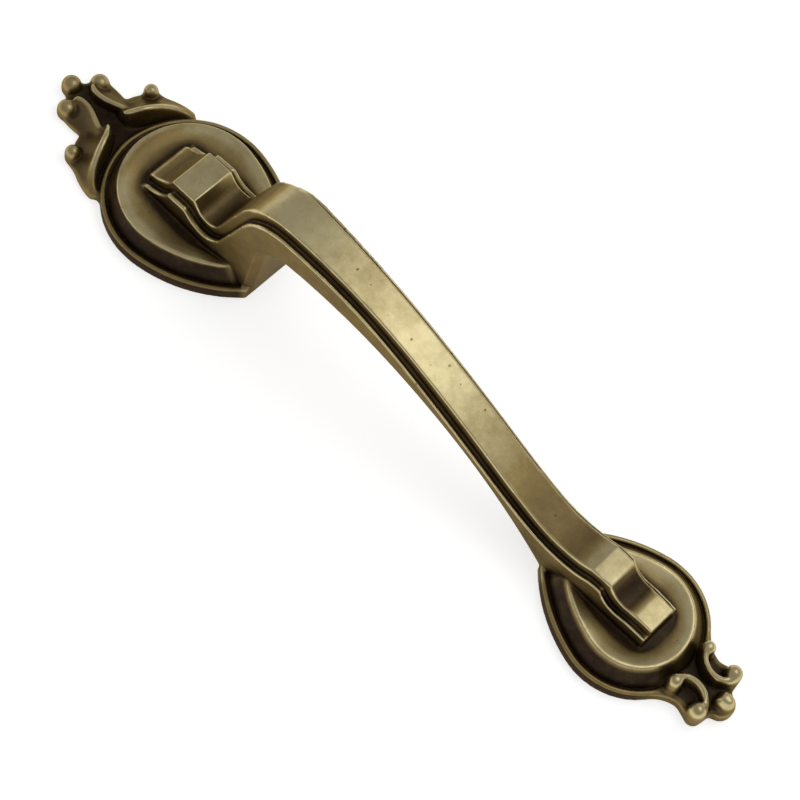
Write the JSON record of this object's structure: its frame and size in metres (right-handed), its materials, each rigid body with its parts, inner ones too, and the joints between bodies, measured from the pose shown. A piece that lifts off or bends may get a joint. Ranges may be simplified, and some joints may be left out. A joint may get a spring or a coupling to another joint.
{
  "type": "bow pull",
  "caption": "Cast drawer pull: a ribbed swan-neck bow between teardrop rosettes, with a leaf finial at its tall end and a scroll finial at its low end, screwed on from behind.",
  "frame": {"origin": "midway between the two screw holes, on the flat back that lies against the drawer front", "axes": "+X along the handle, from the leaf finial to the scroll finial; +Z away from the drawer front"},
  "size_m": [0.1475, 0.0288, 0.0269],
  "materials": {
    "antique_brass": "cast brass with a dark brown patina in the hollows, rubbed back to pale gold on raised edges, satin"
  },
  "bodies": {
    "root": {"bow_pull": "antique_brass"}
  },
  "joints": []
}
